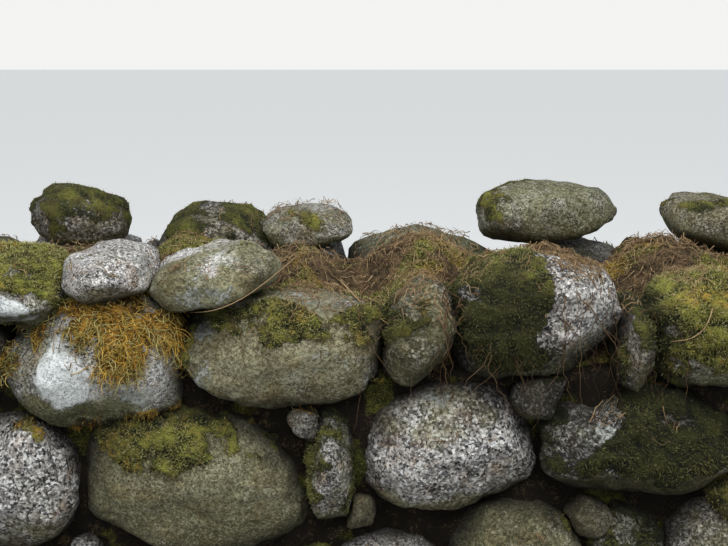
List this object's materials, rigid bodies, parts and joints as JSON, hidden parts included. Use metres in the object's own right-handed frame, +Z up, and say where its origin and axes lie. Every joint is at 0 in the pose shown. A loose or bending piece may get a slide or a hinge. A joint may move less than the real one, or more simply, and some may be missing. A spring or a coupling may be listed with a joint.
{
  "type": "dry stone wall",
  "caption": "Free-standing stretch of dry stone wall: two battered faces of rounded field boulders laid dry on a packed core, with pinning stones in the joints, end stones, top stones and a cap of earth sods.",
  "frame": {"origin": "ground level, middle of the base", "axes": "+X along the wall to the right as seen from the front, +Y from the front face to the back face, +Z up"},
  "size_m": [2.4, 0.76, 1.0511],
  "materials": {
    "granite": "weathered, coarse-grained and rough, with moss and lichen",
    "hearting": "small broken stones packed in dark earth",
    "earth": "dark soil bound by moss and roots"
  },
  "bodies": {
    "root": {"back_course_2": "granite", "back_course_3": "granite", "back_course_4": "granite", "back_course_5": "granite", "back_footing": "granite", "back_pinning_stones": "granite", "back_top_stones": "granite", "core": "hearting", "earth_cap": "earth", "front_course_2": "granite", "front_course_3": "granite", "front_course_4": "granite", "front_course_5": "granite", "front_footing": "granite", "front_pinning_stones": "granite", "front_top_stones": "granite", "left_end_stone_1": "granite", "left_end_stone_2": "granite", "left_end_stone_3": "granite", "left_end_stone_4": "granite", "left_end_stone_5": "granite", "left_end_stone_6": "granite", "right_end_stone_1": "granite", "right_end_stone_2": "granite", "right_end_stone_3": "granite", "right_end_stone_4": "granite", "right_end_stone_5": "granite", "right_end_stone_6": "granite"}
  },
  "joints": []
}
